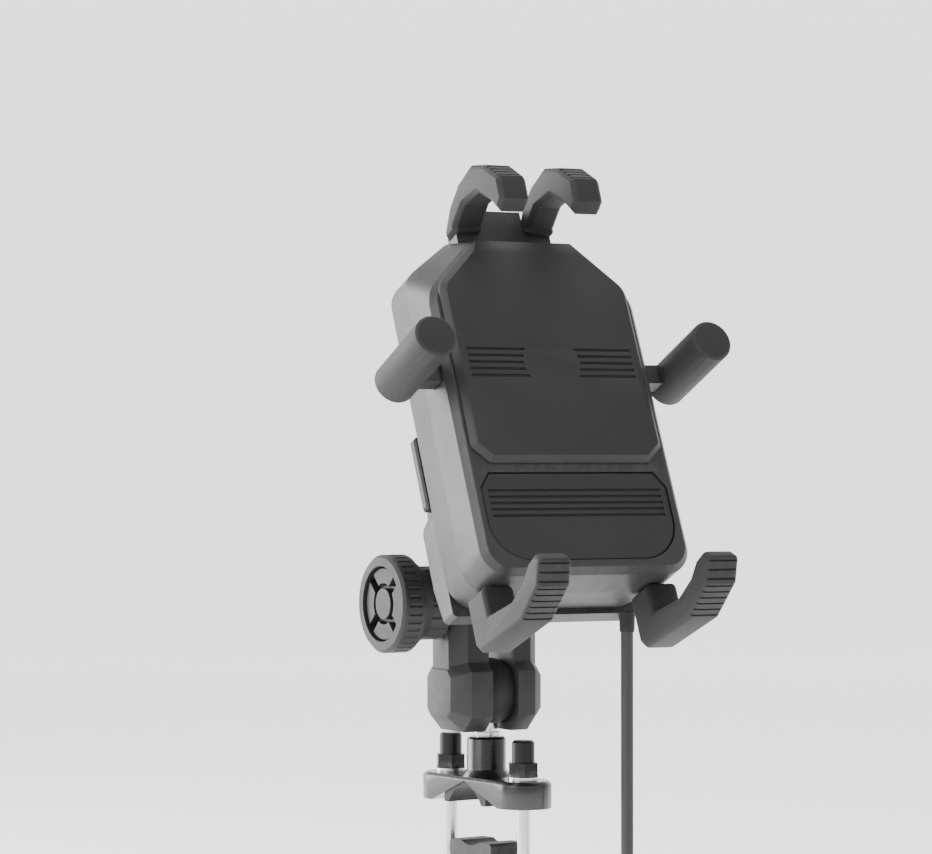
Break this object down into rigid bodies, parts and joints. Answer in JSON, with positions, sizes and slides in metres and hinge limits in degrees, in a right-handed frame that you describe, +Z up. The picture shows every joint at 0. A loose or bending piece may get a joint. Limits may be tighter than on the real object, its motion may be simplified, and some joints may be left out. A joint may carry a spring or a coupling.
{
  "type": "phone handlebar mount",
  "caption": "Charging phone holder on a double-ball arm with a U-bolt handlebar clamp; side arms, hook feet and a sliding top jaw grip the phone.",
  "frame": {"origin": "centre of the handlebar at the clamp", "axes": "+X along the handlebar to the rider's right, +Y forward and away from the rider, +Z up"},
  "size_m": [0.1304, 0.1574, 0.3546],
  "materials": {
    "cast_black": "gloss black powder coat on a die casting",
    "rubber": "matte moulded rubber",
    "stainless": "bright stainless steel",
    "black_zinc": "black-coated steel",
    "satin_black": "satin black coat on a die casting",
    "grip_plastic": "matte moulded nylon",
    "brass": "machined brass",
    "shell_plastic": "fine-textured charcoal moulded plastic",
    "panel_plastic": "fine-textured charcoal moulded plastic",
    "copper": "enamelled copper wire",
    "ferrite": "sintered ferrite sheet",
    "board": "green solder mask",
    "cable_jacket": "matte cable jacket"
  },
  "bodies": {
    "base": {"base_plate": "cast_black", "saddle_pad": "rubber", "u_bolt": "stainless", "cap_nuts": "black_zinc", "nut_washers": "stainless", "lower_saddle": "satin_black"},
    "lower_ball_stud": {"lower_stud": "stainless", "lower_ball": "rubber"},
    "arm": {"arm_right": "satin_black", "arm_bolt": "stainless", "arm_spring": "stainless"},
    "arm_clamp_half": {"arm_left": "satin_black", "knob_washer": "stainless"},
    "knob": {"knob": "grip_plastic", "knob_insert": "brass"},
    "upper_ball_stud": {"upper_stud": "stainless", "upper_ball": "rubber"},
    "head": {"front_shell": "shell_plastic", "upper_plate": "panel_plastic", "lower_panel": "panel_plastic", "rear_shell": "shell_plastic", "rear_cover": "shell_plastic", "case_screws": "black_zinc", "cover_screws": "black_zinc", "charging_coil": "copper", "ferrite_sheet": "ferrite", "circuit_board": "board", "left_foot": "shell_plastic", "right_foot": "shell_plastic", "left_foot_pad": "rubber", "right_foot_pad": "rubber", "button_spring": "stainless", "cable_gland": "rubber", "cable_lead": "cable_jacket", "cable_coil": "cable_jacket", "coil_tie": "rubber", "usb_plug": "cable_jacket", "usb_shell": "stainless", "usb_tongue": "shell_plastic"},
    "top_jaw": {"top_jaw": "shell_plastic", "left_claw_pad": "rubber", "right_claw_pad": "rubber"},
    "left_arm": {"left_arm": "shell_plastic", "left_roller": "rubber"},
    "right_arm": {"right_arm": "shell_plastic", "right_roller": "rubber"},
    "pinion": {"pinion": "shell_plastic"},
    "release_button": {"release_button": "panel_plastic"}
  },
  "joints": [
    {"name": "arm_swivel", "type": "hinge", "parent": "base", "child": "lower_ball_stud", "pos_m": [0, 0, 0.046], "axis": [0, 0, 1], "range_deg": [-180, 180]},
    {"name": "arm_tilt", "type": "hinge", "parent": "lower_ball_stud", "child": "arm", "pos_m": [0, 0, 0.046], "axis": [0.9945, -0.1045, 0], "range_deg": [-35, 35]},
    {"name": "arm_open", "type": "slide", "parent": "arm", "child": "arm_clamp_half", "axis": [-0.9945, 0.1045, 0], "range_m": [0, 0.002]},
    {"name": "knob_turn", "type": "hinge", "parent": "arm_clamp_half", "child": "knob", "pos_m": [0, 0, 0.0796], "axis": [-0.9945, 0.1045, 0], "range_deg": [0, 576]},
    {"name": "head_tilt", "type": "hinge", "parent": "arm", "child": "upper_ball_stud", "pos_m": [0, 0, 0.117], "axis": [0.9945, -0.1045, 0], "range_deg": [-30, 16]},
    {"name": "head_spin", "type": "hinge", "parent": "upper_ball_stud", "child": "head", "pos_m": [0, 0, 0.117], "axis": [0.1534, 0.8935, -0.4221], "range_deg": [-90, 0]},
    {"name": "jaw_slide", "type": "slide", "parent": "head", "child": "top_jaw", "axis": [0.0714, 0.4161, 0.9065], "range_m": [0, 0.03]},
    {"name": "left_arm_slide", "type": "slide", "parent": "head", "child": "left_arm", "axis": [0.9856, -0.1692, 0], "range_m": [-0.006, 0.0055]},
    {"name": "right_arm_slide", "type": "slide", "parent": "head", "child": "right_arm", "axis": [-0.9856, 0.1692, 0], "range_m": [-0.006, 0.0055]},
    {"name": "pinion_turn", "type": "hinge", "parent": "head", "child": "pinion", "pos_m": [-0.00751, -0.04372, 0.16292], "axis": [0.1534, 0.8935, -0.4221], "range_deg": [-60, 55]},
    {"name": "button_press", "type": "slide", "parent": "head", "child": "release_button", "axis": [0.9856, -0.1692, 0], "range_m": [0, 0.0012], "stiffness_N_per_m": 1500, "springref_m": -0.0006, "deforming": ["button_spring"]}
  ],
  "couplings": [
    {"joint": "knob_turn", "follows": "arm_open", "rad_per_m": 5026.5},
    {"joint": "right_arm_slide", "follows": "left_arm_slide", "ratio": 1},
    {"joint": "pinion_turn", "follows": "left_arm_slide", "rad_per_m": 166.67}
  ]
}
